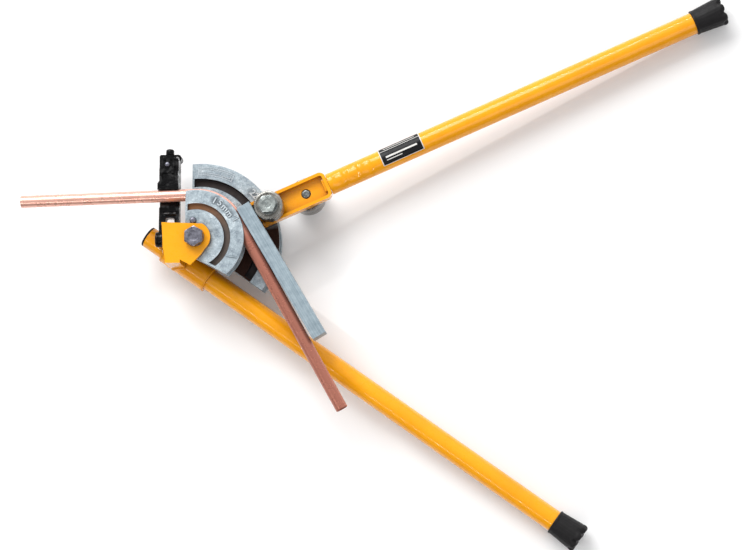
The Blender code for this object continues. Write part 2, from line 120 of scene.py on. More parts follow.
def ring_lathe(name, start, direction, section, segments=96):
    d = Vector(direction).normalized()
    side, up = axes_of(d)
    rings = []
    for i in range(segments):
        t = 2 * pi * i / segments
        out = side * cos(t) + up * sin(t)
        rings.append([tuple(Vector(start) + d * s + out * r) for s, r in section])
    return loft(name, rings, close=True)


def arc(r, a0, a1, count, centre=(0.0, 0.0)):
    return [(centre[0] + r * cos(radians(a0 + (a1 - a0) * i / count)),
             centre[1] + r * sin(radians(a0 + (a1 - a0) * i / count))) for i in range(count + 1)]


def box(name, x, y, z):
    return prism(name, [(x[0], y[0]), (x[1], y[0]), (x[1], y[1]), (x[0], y[1])], z[0], z[1])


def boolean(obj, other, operation="DIFFERENCE"):
    cutter(other)
    mod = obj.modifiers.new("bool", "BOOLEAN")
    mod.operation, mod.solver, mod.object = operation, "EXACT", other


def hole(obj, at, r, z0, z1, segments=64):
    boolean(obj, lathe("hole", (at[0], at[1], z0), (0, 0, 1), [(0, r), (z1 - z0, r)], segments))


def bake(obj):
    """Turns the modifiers into mesh."""
    bpy.context.view_layer.update()
    deps = bpy.context.evaluated_depsgraph_get()
    mesh = bpy.data.meshes.new_from_object(obj.evaluated_get(deps))
    obj.modifiers.clear()
    old, obj.data = obj.data, mesh
    mesh.name = obj.name
    bpy.data.meshes.remove(old)
    return obj


def soften(obj, width=0.6, segments=3, angle=38.0):
    """Rounds the edges, then bakes."""
    bake(obj)
    bm = bmesh.new()
    bm.from_mesh(obj.data)
    bmesh.ops.remove_doubles(bm, verts=bm.verts, dist=2e-6)
    bmesh.ops.dissolve_limit(bm, angle_limit=radians(0.4), verts=bm.verts, edges=bm.edges)
    bm.to_mesh(obj.data)
    bm.free()
    mod = obj.modifiers.new("bevel", "BEVEL")
    mod.width, mod.segments, mod.limit_method, mod.angle_limit = width * MM, segments, "ANGLE", radians(angle)
    mod.use_clamp_overlap = True
    mod.miter_outer = "MITER_ARC"
    return bake(obj)


def finish_piece(obj, body, nodes, mat, sharp=44.0):
    for face in obj.data.polygons:
        face.use_smooth = True
    bm = bmesh.new()
    bm.from_mesh(obj.data)
    for edge in bm.edges:
        if len(edge.link_faces) == 2:
            edge.smooth = edge.calc_face_angle(0.0) < radians(sharp)
    bm.to_mesh(obj.data)
    bm.free()
    mod = obj.modifiers.new("normals", "WEIGHTED_NORMAL")
    mod.keep_sharp = True
    mod.weight = 80
    if not obj.data.materials:
        obj.data.materials.append(mat)
    if body:
        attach(obj, body)
    if nodes:
        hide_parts(*nodes)
    return obj


# ---------------------------------------------------------------- materials

class Tree:
    """Short calls for building one material's nodes."""

    def __init__(self, name):
        self.mat = bpy.data.materials.new(name)
        self.mat.use_nodes = True
        self.nodes, self.links = self.mat.node_tree.nodes, self.mat.node_tree.links
        self.bsdf = self.nodes["Principled BSDF"]
        self.coord = self.nodes.new("ShaderNodeTexCoord").outputs["Object"]

    def put(self, socket, value):
        if hasattr(value, "is_output"):
            self.links.new(value, socket)
        else:
            socket.default_value = value

    def set(self, **values):
        for key, value in values.items():
            self.put(self.bsdf.inputs[key.replace("_", " ")], value)

    def math(self, op, a, b=0.0, c=0.0, clamp=False):
        node = self.nodes.new("ShaderNodeMath")
        node.operation, node.use_clamp = op, clamp
        for socket, value in zip(node.inputs, (a, b, c)):
            self.put(socket, value)
        return node.outputs[0]

    def mapped(self, rotation=0.0, scale=(1, 1, 1), offset=(0, 0, 0)):
        turn = self.nodes.new("ShaderNodeMapping")
        turn.vector_type = "POINT"
        turn.inputs["Rotation"].default_value = (0, 0, radians(rotation))
        turn.inputs["Location"].default_value = offset
        self.links.new(self.coord, turn.inputs["Vector"])
        size = self.nodes.new("ShaderNodeMapping")
        size.inputs["Scale"].default_value = scale
        self.links.new(turn.outputs[0], size.inputs["Vector"])
        return size.outputs[0]

    def noise(self, scale, detail=4.0, rough=0.55, vector=None, distortion=0.0):
        node = self.nodes.new("ShaderNodeTexNoise")
        for key, value in (("Scale", scale), ("Detail", detail), ("Roughness", rough),
                           ("Distortion", distortion)):
            node.inputs[key].default_value = value
        self.links.new(vector or self.coord, node.inputs["Vector"])
        return node.outputs["Fac"]

    def ramp(self, fac, stops):
        node = self.nodes.new("ShaderNodeValToRGB")
        while len(node.color_ramp.elements) < len(stops):
            node.color_ramp.elements.new(0.5)
        for element, (at, colour) in zip(node.color_ramp.elements, stops):
            element.position = at
            element.color = (*colour, 1.0) if hasattr(colour, "__len__") else (colour, colour, colour, 1.0)
        self.links.new(fac, node.inputs[0])
        return node.outputs[0]

    def range(self, value, a, b, c, d):
        node = self.nodes.new("ShaderNodeMapRange")
        for socket, v in zip(node.inputs, (value, a, b, c, d)):
            self.put(socket, v)
        return node.outputs[0]

    def mix(self, fac, a, b):
        node = self.nodes.new("ShaderNodeMix")
        node.data_type = "RGBA"
        for socket, value in ((node.inputs[0], fac), (node.inputs[6], a), (node.inputs[7], b)):
            if isinstance(value, tuple):
                value = (*value, 1.0)
            self.put(socket, value)
        return node.outputs[2]

    def parts(self, vector=None):
        node = self.nodes.new("ShaderNodeSeparateXYZ")
        self.links.new(vector or self.coord, node.inputs[0])
        return node.outputs

    def radius(self, centre=(0.0, 0.0)):
        x, y = self.parts()[:2]
        dx, dy = self.math("SUBTRACT", x, centre[0]), self.math("SUBTRACT", y, centre[1])
        squares = self.math("ADD", self.math("MULTIPLY", dx, dx), self.math("MULTIPLY", dy, dy))
        return self.math("SQRT", squares)

    def bump(self, height, distance, strength=1.0):
        node = self.nodes.new("ShaderNodeBump")
        node.inputs["Strength"].default_value = strength
        node.inputs["Distance"].default_value = distance
        self.links.new(height, node.inputs["Height"])
        self.links.new(node.outputs[0], self.bsdf.inputs["Normal"])


def paint_material():
    t = Tree("gloss_yellow_paint")
    tone = t.noise(22.0, 3.0)
    base = t.ramp(tone, [(0.3, (0.86, 0.335, 0.002)), (0.7, (0.93, 0.390, 0.003))])
    specks = t.ramp(t.noise(900.0, 2.0, 0.7), [(0.69, 0.0), (0.74, 1.0)])
    # Painted shade: ambient occlusion darkens the paint in creases and corners.
    crevice_shade = t.nodes.new("ShaderNodeAmbientOcclusion")
    crevice_shade.samples = 6
    crevice_shade.inputs["Distance"].default_value = 0.004
    unshaded = t.ramp(crevice_shade.outputs["AO"], [(0.15, 0.0), (0.62, 1.0)])
    base = t.mix(unshaded, (0.34, 0.10, 0.002), base)
    # Painted shade: a wide ambient occlusion darkens the paint near other parts, such as the collar under the
    # formers.
    wide = t.nodes.new("ShaderNodeAmbientOcclusion")
    wide.samples = 6
    wide.inputs["Distance"].default_value = 0.060
    base = t.mix(t.ramp(wide.outputs["AO"], [(0.20, 0.0), (0.72, 1.0)]), (0.52, 0.185, 0.002), base)
    t.set(Base_Color=t.mix(t.math("MULTIPLY", specks, 0.35), base, (0.42, 0.17, 0.02)),
          Roughness=t.range(t.noise(160.0, 3.0), 0.3, 0.7, 0.24, 0.34), Metallic=0.0)
    t.bsdf.inputs["Specular IOR Level"].default_value = 0.16
    t.bsdf.inputs["Coat Weight"].default_value = 1.0
    t.bsdf.inputs["Coat Roughness"].default_value = 0.06
    t.bsdf.inputs["Coat IOR"].default_value = 1.33
    t.bump(t.math("ADD", t.noise(260.0, 2.0), t.math("MULTIPLY", t.noise(60.0, 2.0), 1.5)), 0.00002, 0.3)
    return t.mat


def weld_material():
    t = Tree("painted_weld")
    base = t.ramp(t.noise(150.0, 4.0), [(0.3, (0.62, 0.24, 0.008)), (0.7, (0.90, 0.37, 0.01))])
    t.set(Base_Color=base, Roughness=t.range(t.noise(300.0), 0.3, 0.7, 0.25, 0.5))
    t.bump(t.noise(500.0, 4.0, 0.7), 0.0004, 0.7)
    return t.mat


def mark_shade(t, colour, shade_spots):
    """Paints shade into the casting in soft patches round where the raised marks stand."""
    for centre, reach in shade_spots:
        near = t.range(t.radius(tuple(c * MM for c in centre)), reach * 0.45 * MM, reach * MM, 1.0, 0.0)
        colour = t.mix(t.math("MULTIPLY", near, 0.62), colour, (0.07, 0.085, 0.10))
    return colour


def cast_material(name, recess, top, light, dark, warm, shade_spots=(), shadow=False):
    """Die-cast aluminium: cloudy tone, fine pits and a darker floor in the sunk ring, warm towards -x, +y,
    dark towards +x, -y and patchy.

    shadow paints in the dark zone that the photograph shows on the big former.
    It doesn't come from the lights.
    """
    t = Tree(name)
    cloud = t.noise(70.0, 6.0, 0.62, distortion=0.6)
    patch = t.noise(230.0, 5.0, 0.65)
    grain = t.noise(620.0, 4.0, 0.7)
    mixed = t.math("ADD", t.math("MULTIPLY", cloud, 0.42), t.math("MULTIPLY", patch, 0.28))
    mixed = t.math("ADD", mixed, t.math("MULTIPLY", grain, 0.30))
    face = t.ramp(mixed, [(0.37, (0.13, 0.16, 0.19)), (0.46, (0.27, 0.325, 0.365)),
                          (0.54, (0.39, 0.46, 0.50)),
                          (0.66, light)])
    r = t.radius()
    z = t.parts()[2]
    sunk = t.math("MULTIPLY", t.math("LESS_THAN", z, (top - 0.5) * MM),
                  t.math("MULTIPLY", t.math("GREATER_THAN", r, (recess[0] - 0.9) * MM),
                         t.math("LESS_THAN", r, (recess[1] + 0.9) * MM)))
    sunk = t.math("MULTIPLY", sunk, t.math("GREATER_THAN", z, (top - 9.0) * MM))
    x, y = t.parts()[:2]
    side = t.math("ADD", t.math("MULTIPLY", x, -0.7), t.math("MULTIPLY", y, 0.7))
    floor = t.mix(t.range(side, -0.02, 0.035, 0.0, 1.0), dark, warm)
    floor = t.mix(t.math("MULTIPLY", t.noise(240.0, 5.0, 0.7), 0.5), floor, dark)
    colour = t.mix(sunk, face, floor)
    # Painted shade: ambient occlusion darkens the casting in crevices and round the raised marks.
    crevice_shade = t.nodes.new("ShaderNodeAmbientOcclusion")
    crevice_shade.samples = 6
    crevice_shade.inputs["Distance"].default_value = 0.0024
    colour = t.mix(t.ramp(crevice_shade.outputs["AO"], [(0.45, 0.0), (0.88, 1.0)]), (0.035, 0.042, 0.05), colour)
    shadow_zone = 0.0
    if shade_spots:
        colour = mark_shade(t, colour, shade_spots)
    if shadow:
        # Painted shadow: a dark brown zone on the big former's front face, beside the guide and inside the
        # sunk ring; metallic and specular drop there too.
        turn = t.math("ARCTAN2", y, x)
        outer = t.math("MULTIPLY", t.range(turn, -0.46, -0.42, 0.0, 1.0), t.range(turn, 0.16, 0.30, 1.0, 0.0))
        inner = t.math("MULTIPLY", t.range(turn, 0.05, 0.25, 1.0, 0.0), t.math("LESS_THAN", r, 0.0800))
        shadow_zone = t.math("MAXIMUM", outer, inner)
        shadow_zone = t.math("MULTIPLY", shadow_zone, t.math("GREATER_THAN", z, (top - 0.9) * MM), clamp=True)
        colour = t.mix(shadow_zone, colour, t.mix(patch, (0.012, 0.005, 0.004), (0.045, 0.022, 0.016)))
    t.set(Base_Color=colour,
          Roughness=t.math("ADD", t.range(patch, 0.3, 0.7, 0.36, 0.58), t.math("MULTIPLY", sunk, 0.2)),
          Metallic=t.math("SUBTRACT", 0.35,
                          t.math("MULTIPLY", t.math("MAXIMUM", sunk, shadow_zone), 0.35), clamp=True))
    t.put(t.bsdf.inputs["Specular IOR Level"], t.math("SUBTRACT", 0.5, t.math("MULTIPLY", shadow_zone, 0.45)))
    t.bump(t.math("ADD", t.math("MULTIPLY", t.noise(650.0, 5.0, 0.7), 0.7), t.math("MULTIPLY", patch, 0.6)),
           0.0006, 0.8)
    return t.mat


def guide_material():
    t = Tree("extruded_aluminium")
    along = t.mapped(-GUIDE_DEG, (6.0, 700.0, 700.0))
    streak = t.noise(1.0, 4.0, 0.6, along)
    cloud = t.noise(120.0, 5.0, 0.6)
    fine = t.noise(1100.0, 3.0, 0.7)
    mixed = t.math("ADD", t.math("MULTIPLY", streak, 0.45),
                   t.math("ADD", t.math("MULTIPLY", cloud, 0.35), t.math("MULTIPLY", fine, 0.2)))
    tone = t.ramp(mixed, [(0.36, (0.17, 0.225, 0.26)), (0.5, (0.265, 0.335, 0.38)),
                          (0.64, (0.38, 0.46, 0.50))])
    t.set(Base_Color=tone,
          Metallic=0.35, Roughness=t.range(mixed, 0.35, 0.65, 0.38, 0.56))
    t.bump(t.math("ADD", t.math("MULTIPLY", streak, 0.7), t.math("MULTIPLY", fine, 0.4)), 0.00012, 0.6)
    return t.mat


def turned_material(name, centre, low, high, metallic=0.95, pitch=1900.0, rough=(0.2, 0.42)):
    """Machined metal with fine rings about a vertical axis."""
    t = Tree(name)
    r = t.radius(centre)
    wave = t.math("SINE", t.math("MULTIPLY", r, pitch * 2 * pi / 2.0))
    stain = t.noise(130.0, 5.0, 0.6)
    ring_tone = t.noise(1.0, 3.0, 0.6, None)
    tone = t.math("ADD", t.math("MULTIPLY", stain, 0.75), t.math("MULTIPLY", ring_tone, 0.25))
    tone = t.math("ADD", tone, t.math("MULTIPLY", wave, 0.05))
    t.set(Base_Color=t.ramp(tone, [(0.33, low), (0.66, high)]), Metallic=metallic,
          Roughness=t.range(stain, 0.3, 0.7, rough[0], rough[1]))
    t.bump(t.math("ADD", t.math("MULTIPLY", wave, 0.35), t.noise(700.0, 3.0, 0.6)), 0.00008, 0.7)
    return t.mat


def plated_material(name, low, high, rough=(0.25, 0.45)):
    t = Tree(name)
    cloud = t.noise(260.0, 5.0, 0.6)
    t.set(Base_Color=t.ramp(cloud, [(0.3, low), (0.7, high)]), Metallic=0.92,
          Roughness=t.range(t.noise(420.0, 4.0), 0.3, 0.7, rough[0], rough[1]))
    t.bump(t.noise(500.0, 3.0, 0.6), 0.00004, 0.4)
    return t.mat


def copper_material():
    t = Tree("drawn_copper")
    cloud = t.noise(45.0, 5.0, 0.6)
    mottle = t.noise(160.0, 3.0, 0.5)
    tone = t.math("ADD", t.math("MULTIPLY", cloud, 0.7), t.math("MULTIPLY", mottle, 0.3))
    pale = t.ramp(tone, [(0.25, (0.74, 0.38, 0.29)), (0.5, (0.80, 0.44, 0.35)), (0.75, (0.88, 0.53, 0.43))])
    # Painted shade: the base colour darkens from y = 45 mm down to y = 0 and below, so the exit leg is darker
    # than the tail.
    y = t.parts()[1]
    t.set(Base_Color=t.mix(t.range(y, 0.0, 0.045, 0.0, 1.0), (0.44, 0.165, 0.115), pale),
          Metallic=0.55, Roughness=t.range(cloud, 0.3, 0.7, 0.22, 0.34))
    t.bump(t.noise(220.0, 2.0, 0.5), 0.00001, 0.2)
    return t.mat


def rubber_material():
    t = Tree("moulded_rubber")
    dust = t.ramp(t.noise(120.0, 5.0, 0.65), [(0.45, 0.0), (0.75, 1.0)])
    t.set(Base_Color=t.mix(t.math("MULTIPLY", dust, 0.4), (0.0035, 0.003, 0.0035), (0.014, 0.012, 0.014)),
          Roughness=t.range(t.noise(300.0), 0.3, 0.7, 0.42, 0.62))
    t.bsdf.inputs["Specular IOR Level"].default_value = 0.28
    t.bump(t.math("ADD", t.noise(1500.0, 3.0, 0.7), t.math("MULTIPLY", t.noise(260.0), 1.2)), 0.00012, 0.5)
    return t.mat


def enamel_material():
    t = Tree("black_enamel_gloss")
    tone = t.noise(140.0, 4.0)
    chips = t.ramp(t.noise(520.0, 3.0, 0.75), [(0.70, 0.0), (0.73, 1.0)])
    t.set(Base_Color=t.mix(t.math("MULTIPLY", chips, 0.7), (0.0025, 0.0025, 0.003), (0.05, 0.05, 0.055)),
          Roughness=t.range(tone, 0.3, 0.7, 0.14, 0.30), Metallic=0.0)
    t.bsdf.inputs["Specular IOR Level"].default_value = 0.14
    t.put(t.bsdf.inputs["Coat Weight"], t.ramp(t.noise(170.0, 2.0), [(0.54, 0.02), (0.62, 1.0)]))
    t.bsdf.inputs["Coat Roughness"].default_value = 0.08
    t.bump(t.math("ADD", t.noise(200.0, 2.0), t.math("MULTIPLY", t.noise(700.0, 2.0), 0.4)), 0.0006, 0.7)
    return t.mat


def print_material(name, low, high):
    t = Tree(name)
    t.set(Base_Color=t.ramp(t.noise(600.0, 4.0, 0.65), [(0.35, low), (0.65, high)]),
          Roughness=t.range(t.noise(300.0), 0.3, 0.7, 0.28, 0.45))
    t.bsdf.inputs["Specular IOR Level"].default_value = 0.2
    t.bump(t.noise(800.0, 2.0), 0.00003, 0.4)
    return t.mat


paint = paint_material()
weld = weld_material()
cast_15 = cast_material("cast_aluminium_15", (35.5, 42.6), FORMER_15_Z[1], (0.74, 0.80, 0.83),
                        (0.085, 0.062, 0.050), (0.36, 0.14, 0.035),
                        [(tuple(polar(51.4, a).xy), 6.5) for a in (62.8, 54.8, 45.3, 35.0)])
# Painted highlight: the tops of the raised marks get a lighter grey.
mark_top_highlight = print_material("painted_highlight_mark_tops", (0.34, 0.40, 0.44), (0.60, 0.66, 0.70))
cast_22 = cast_material("cast_aluminium_22", (70.0, 79.3), FORMER_22_Z[1], (0.74, 0.80, 0.83),
                        (0.010, 0.006, 0.006), (0.026, 0.014, 0.012),
                        [(tuple(polar(89.3, a).xy), 7.5) for a in (44.0, 39.0)], True)
guide_mat = guide_material()
bolt_mat = plated_material("zinc_dark", (0.10, 0.10, 0.125), (0.27, 0.27, 0.32))
bright_mat = plated_material("zinc_bright", (0.15, 0.165, 0.165), (0.34, 0.36, 0.355), (0.22, 0.36))
copper_mat = copper_material()
rubber_mat = rubber_material()
enamel = enamel_material()
label_black = print_material("label_black", (0.002, 0.002, 0.003), (0.007, 0.007, 0.009))
label_white = print_material("label_white", (0.62, 0.61, 0.58), (0.80, 0.79, 0.76))
bronze_mat = plated_material("bronze_bush", (0.30, 0.18, 0.06), (0.58, 0.38, 0.15))

# ---------------------------------------------------------------- camera, floor and light

target = Vector((0.2172, -0.0436, 0.0538))
eye = Vector((0.4659, -0.4610, 3.0142))
forward = (target - eye).normalized()
right = forward.cross(Vector((0, 1, 0))).normalized()
up = right.cross(forward)
camera = bpy.data.objects.new("camera", bpy.data.cameras.new("camera"))
camera.matrix_world = Matrix((
    (right.x, up.x, -forward.x, eye.x), (right.y, up.y, -forward.y, eye.y),
    (right.z, up.z, -forward.z, eye.z), (0, 0, 0, 1)))
camera.data.sensor_width = 36.0
camera.data.lens = 117.55
camera.data.clip_end = 30.0
bpy.context.scene.collection.objects.link(camera)
bpy.context.scene.camera = camera
bpy.context.scene.view_settings.view_transform = "Standard"
bpy.context.scene.view_settings.look = "None"

# The tool lies on its bolt end and both rubber caps, so the floor slopes about three degrees in this frame.
# It passes 0.3 mm under the bolt, 1.3 mm under the fixed cap and 2.0 mm under the lever's cap.
slope_x, slope_y, drop = 0.0492, 0.0160, 0.0006
floor_points = [(x, y, x * slope_x + y * slope_y - drop) for x, y in ((-6, -6), (6, -6), (6, 6), (-6, 6))]
floor_mesh = bpy.data.meshes.new("floor")
floor_mesh.from_pydata(floor_points, [], [(0, 1, 2, 3)])
floor = bpy.data.objects.new("floor", floor_mesh)
bpy.context.scene.collection.objects.link(floor)
tree = Tree("pale_floor")
tree.set(Base_Color=tree.ramp(tree.noise(3.0, 3.0), [(0.3, (0.93, 0.93, 0.93)), (0.7, (0.95, 0.95, 0.95))]),
         Roughness=0.75)
tree.bsdf.inputs["Specular IOR Level"].default_value = 0.2
floor_mesh.materials.append(tree.mat)

world = bpy.data.worlds.new("studio")
bpy.context.scene.world = world
world.use_nodes = True
wn, wl = world.node_tree.nodes, world.node_tree.links
background = wn["Background"]
sky = wn.new("ShaderNodeTexCoord")
split = wn.new("ShaderNodeSeparateXYZ")
wl.new(sky.outputs["Generated"], split.inputs[0])
ramp = wn.new("ShaderNodeValToRGB")
for position, colour in ((0.0, (0.10, 0.095, 0.10)), (0.5, (0.34, 0.34, 0.36)), (1.0, (1.0, 1.0, 1.0))):
    elements = ramp.color_ramp.elements
    stop = elements[int(position)] if position in (0.0, 1.0) else elements.new(0.5)
    stop.position = position
    stop.color = (*colour, 1)
spread = wn.new("ShaderNodeMapRange")
spread.inputs[1].default_value = -1.0
spread.inputs[2].default_value = 1.0
wl.new(split.outputs["Y"], spread.inputs[0])
wl.new(spread.outputs[0], ramp.inputs[0])
wl.new(ramp.outputs[0], background.inputs[0])
background.inputs[1].default_value = 1.05


def area_light(name, at, aim, size, power, along=(1, 0, 0)):
    """Rectangular light at a point, facing aim, with its long side along a direction."""
    data = bpy.data.lights.new(name, "AREA")
    data.shape, data.size, data.size_y = "RECTANGLE", size[0], size[1]
    data.energy = power
    back = (Vector(at) - Vector(aim)).normalized()
    side = (Vector(along) - back * Vector(along).dot(back)).normalized()
    top = back.cross(side)
    obj = bpy.data.objects.new(name, data)
    obj.matrix_world = Matrix((
        (side.x, top.x, back.x, at[0]), (side.y, top.y, back.y, at[1]),
        (side.z, top.z, back.z, at[2]), (0, 0, 0, 1)))
    bpy.context.scene.collection.objects.link(obj)
    return obj


# Each handle has its own long, narrow light, parallel to it, which draws one line along the gloss.
area_light("key", (-0.9, 1.9, 2.3), (0.2, 0.0, 0.0), (2.0, 1.4), 60.0)
area_light("fill", (1.6, -1.2, 2.4), (0.25, 0.0, 0.0), (1.6, 1.6), 12.0)
area_light("lever_strip", (-0.56, 2.44, 1.77), (0.42, 0.18, 0.05), (3.2, 0.08), 26.0, polar(1.0, LEVER_DEG))
area_light("handle_strip", (-0.75, -1.85, 2.15), (0.25, -0.21, 0.03), (3.2, 0.07), 20.0,
           polar(1.0, FIXED_DEG))

# ---------------------------------------------------------------- tubes, caps and collar

fixed_u, fixed_n = polar(1.0, FIXED_DEG), polar(1.0, FIXED_DEG + 90.0)
fixed_foot = fixed_n * FIXED_OFFSET + Vector((0, 0, FIXED_Z))
lever_u, lever_v = polar(1.0, LEVER_DEG), polar(1.0, LEVER_DEG + 90.0)


def on_fixed(s):
    return fixed_foot + fixed_u * s


def on_lever(r, across=0.0, z=0.0):
    return lever_u * r + lever_v * across + Vector((0, 0, z))


def round_tube(name, start, u, length, r, bore, steps, shape=None, segments=96):
    """Hollow tube with eased ends; shape(s, angle) is how far the wall is pressed in."""
    side, upward = axes_of(u)
    stations = [0.0, 0.25, 0.6] + [0.6 + (length - 1.2) * i / steps for i in range(1, steps)] + [
        length - 0.6, length - 0.25, length]
    rings = []
    for s in stations:
        ease = 0.5 * max(0.0, 1.0 - min(s, length - s) / 0.6) ** 2
        ring = []
        for i in range(segments):
            a = 2 * pi * i / segments
            q = r - ease - (shape(s, a) if shape else 0.0)
            ring.append(tuple(start + u * s + side * (q * cos(a)) + upward * (q * sin(a))))
        rings.append(ring)
    for s in (length, length - 0.6, length / 2, 0.6, 0.0):
        rings.append([tuple(start + u * s + side * (bore * cos(2 * pi * i / segments))
                            + upward * (bore * sin(2 * pi * i / segments))) for i in range(segments)])
    return loft(name, rings, close=True)


tube_a = round_tube("fixed_handle_tube_skin", on_fixed(-59.8), fixed_u, 646.8, 13.5, 12.0, 40)
finish_piece(tube_a, "frame", ["fixed_handle_tube"], paint)


def crimps(s, a):
    """Three pairs of press marks that hold the tube on its shank, on the upper and lower sides."""
    depth = 0.0
    for at, half, deep in ((14.0, 7.0, 2.2), (33.0, 8.0, 2.6), (52.0, 6.0, 1.8)):
        k = max(0.0, 1.0 - ((s - at) / half) ** 2)
        for face in (pi / 2, 3 * pi / 2):
            w = max(0.0, cos(a - face))
            depth += deep * (k ** 0.7) * w ** 3
    return depth


tube_b = round_tube("lever_tube_skin", on_lever(175.0, 0, LEVER_Z), lever_u, 525.0, 13.5, 12.0, 260, crimps)
finish_piece(tube_b, "lever", ["lever_handle_tube"], paint)


def rubber_cap(name, start, u, length, body, node):
    """Flared rubber ferrule with a mouth bead, moulding lines, a lobed foot and a dished end."""
    side, upward = axes_of(u)
    segments = 144
    profile = [(0.0, 13.62), (0.0, 14.6), (0.5, 15.3), (1.6, 15.55), (2.8, 15.35), (3.4, 15.05), (4.2, 15.1)]
    profile += [(4.2 + (length - 11.2) * i / 12, 15.1 + 2.25 * i / 12) for i in range(1, 13)]
    profile += [(length - 6.2, 17.75), (length - 5.0, 18.0), (length - 3.4, 18.0), (length - 1.8, 17.5),
                (length - 0.6, 16.4), (length - 0.1, 15.0), (length, 13.0), (length - 0.5, 11.0),
                (length - 1.1, 9.4), (length - 1.2, 5.0), (length - 1.2, 1.0)]
    rings = []
    for s, r in profile:
        lobe = max(0.0, min(1.0, (s - (length - 8.0)) / 4.0)) if r > 9.0 else 0.0
        ring = []
        for i in range(segments):
            a = 2 * pi * i / segments
            dent = abs(sin(3.5 * a + 0.6)) ** 4
            q = r - lobe * 2.6 * dent
            if 5.0 < s < length - 9.0:
                q -= 0.25 * max(0.0, cos(24.0 * a)) ** 8
            along = u * (s - lobe * 2.0 * dent)
            ring.append(tuple(start + along + side * (q * cos(a)) + upward * (q * sin(a))))
        rings.append(ring)
    inner = []
    for s, r in [(length - 3.4, 1.0), (length - 3.4, 13.62), (0.4, 13.62)]:
        inner.append([tuple(start + u * s + side * (r * cos(2 * pi * i / segments))
                               + upward * (r * sin(2 * pi * i / segments))) for i in range(segments)])
    outer = rings + inner
    cap = loft(name, outer, close=True)
    for at, centre in ((length - 1.2, "foot"), (length - 3.4, "well")):
        disc = lathe(name + "_" + centre, start + u * (at - 0.2), u, [(0, 1.3), (0.1, 1.4), (0.2, 1.3)], 24)
        disc.data.materials.append(rubber_mat)
        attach(disc, body)
    finish_piece(cap, body, [node], rubber_mat, 60.0)


rubber_cap("fixed_cap_rubber", on_fixed(552.5), fixed_u, 38.0, "frame", "fixed_handle_cap")
rubber_cap("lever_cap_rubber", on_lever(664.5, 0, LEVER_Z), lever_u, 40.5, "lever", "lever_handle_cap")

for k, s_at in enumerate((-30.6, 32.9)):
    seam = ring_lathe("collar_seam_%d" % k, on_fixed(s_at), fixed_u,
                      [(0, 16.5), (0, 16.95), (0.3, 17.15), (0.9, 17.15), (1.2, 16.95), (1.2, 16.5)], 128)
    finish_piece(seam, "frame", [], weld)

plug = lathe("fixed_plug", on_fixed(-62.4), fixed_u,
             [(1.1, 1.0), (1.1, 8.6), (0.9, 9.3), (0.25, 10.6), (0.0, 11.6), (0.1, 12.6), (0.6, 13.2),
              (1.3, 13.4),
              (2.2, 13.3), (2.3, 12.4), (2.3, 11.7), (13.4, 11.2), (14.0, 10.4)])
finish_piece(plug, "frame", ["fixed_handle_plug"], rubber_mat, 60.0)

collar = ring_lathe("collar_sleeve", on_fixed(-32.0), fixed_u,
                    [(0, 13.8), (0, 16.1), (0.2, 16.6), (0.8, 16.8),
                     (65.7, 16.8), (66.3, 16.6), (66.5, 16.1), (66.5, 13.8)], 128)
finish_piece(collar, "frame", ["handle_collar"], paint)


def weld_bead(name, path, size, body):
    """Rippled bead along a path of points."""
    points = []
    for a, b in zip(path, path[1:]):
        n = max(2, int((Vector(b) - Vector(a)).length / 0.45))
        points += [Vector(a).lerp(Vector(b), i / n) for i in range(n)]
    points.append(Vector(path[-1]))
    rings = []
    total = len(points)
    for k, p in enumerate(points):
        d = (points[min(k + 1, total - 1)] - points[max(k - 1, 0)]).normalized()
        side, upward = axes_of(d)
        end = min(1.0, min(k, total - 1 - k) / 3.0 + 0.25)
        q = size * end * (0.88 + 0.14 * abs(sin(k * 0.62)) + 0.12 * noise.noise(p * 0.35))
        rings.append([tuple(p + side * (q * cos(2 * pi * i / 14)) + upward * (q * sin(2 * pi * i / 14)))
                      for i in range(14)])
    bead = loft(name, rings)
    return finish_piece(bead, body, [], weld, 70.0)


# ---------------------------------------------------------------- cheeks and web

front_outline = ([(-41.0, 19.0), (-38.8, -14.0), (-36.5, -26.5), (-18.0, -27.5), (-5.3, -34.2), (8.0, -21.0)]
                 + arc(19.0, -48.0, 62.0, 48) + [(4.5, 16.9)])
cheek = prism("front_cheek_plate", front_outline, 89.3, 94.3)
boolean(cheek, box("leg", (-36.5, -18.0), (-31.5, -26.6), (45.0, 94.3)), "UNION")
boolean(cheek, lathe("collar_space", on_fixed(-120.0), fixed_u, [(0, 17.1), (240, 17.1)], 96))
hole(cheek, (0, 0), 7.3, 80, 100)
soften(cheek, 0.9, 3)
finish_piece(cheek, "frame", ["front_cheek"], paint)

line_a, line_b = fixed_n * -20.4 + fixed_u * -25.0, fixed_n * -20.4 + fixed_u * 25.0
rear = prism("rear_cheek_plate", [(line_a.x, line_a.y), (line_b.x, line_b.y)] + arc(22.0, -40, 150, 64),
             16.3, 21.3)
hole(rear, (0, 0), 7.3, 10, 30)
hole(rear, (10.5, 10.5), 4.3, 10, 30)
soften(rear, 0.8, 3)
finish_piece(rear, "frame", ["rear_cheek"], paint)

web = box("web_plate", WEB_X, (-12.0, 18.0), (40.0, 89.0))
boolean(web, lathe("collar_space", on_fixed(-120.0), fixed_u, [(0, 17.1), (240, 17.1)], 96))
boolean(web, lathe("pin_space", (-60, *STOP_PIN), (1, 0, 0), [(0, 5.3), (60, 5.3)], 64))
soften(web, 0.7, 3)
finish_piece(web, "frame", ["frame_web"], paint)


def collar_top(x, y, lift=0.0):
    """Height of the collar's surface under a point."""
    d = fixed_n.x * x + fixed_n.y * y - FIXED_OFFSET
    return FIXED_Z + sqrt(max(0.0, (16.8 + lift) ** 2 - d * d))


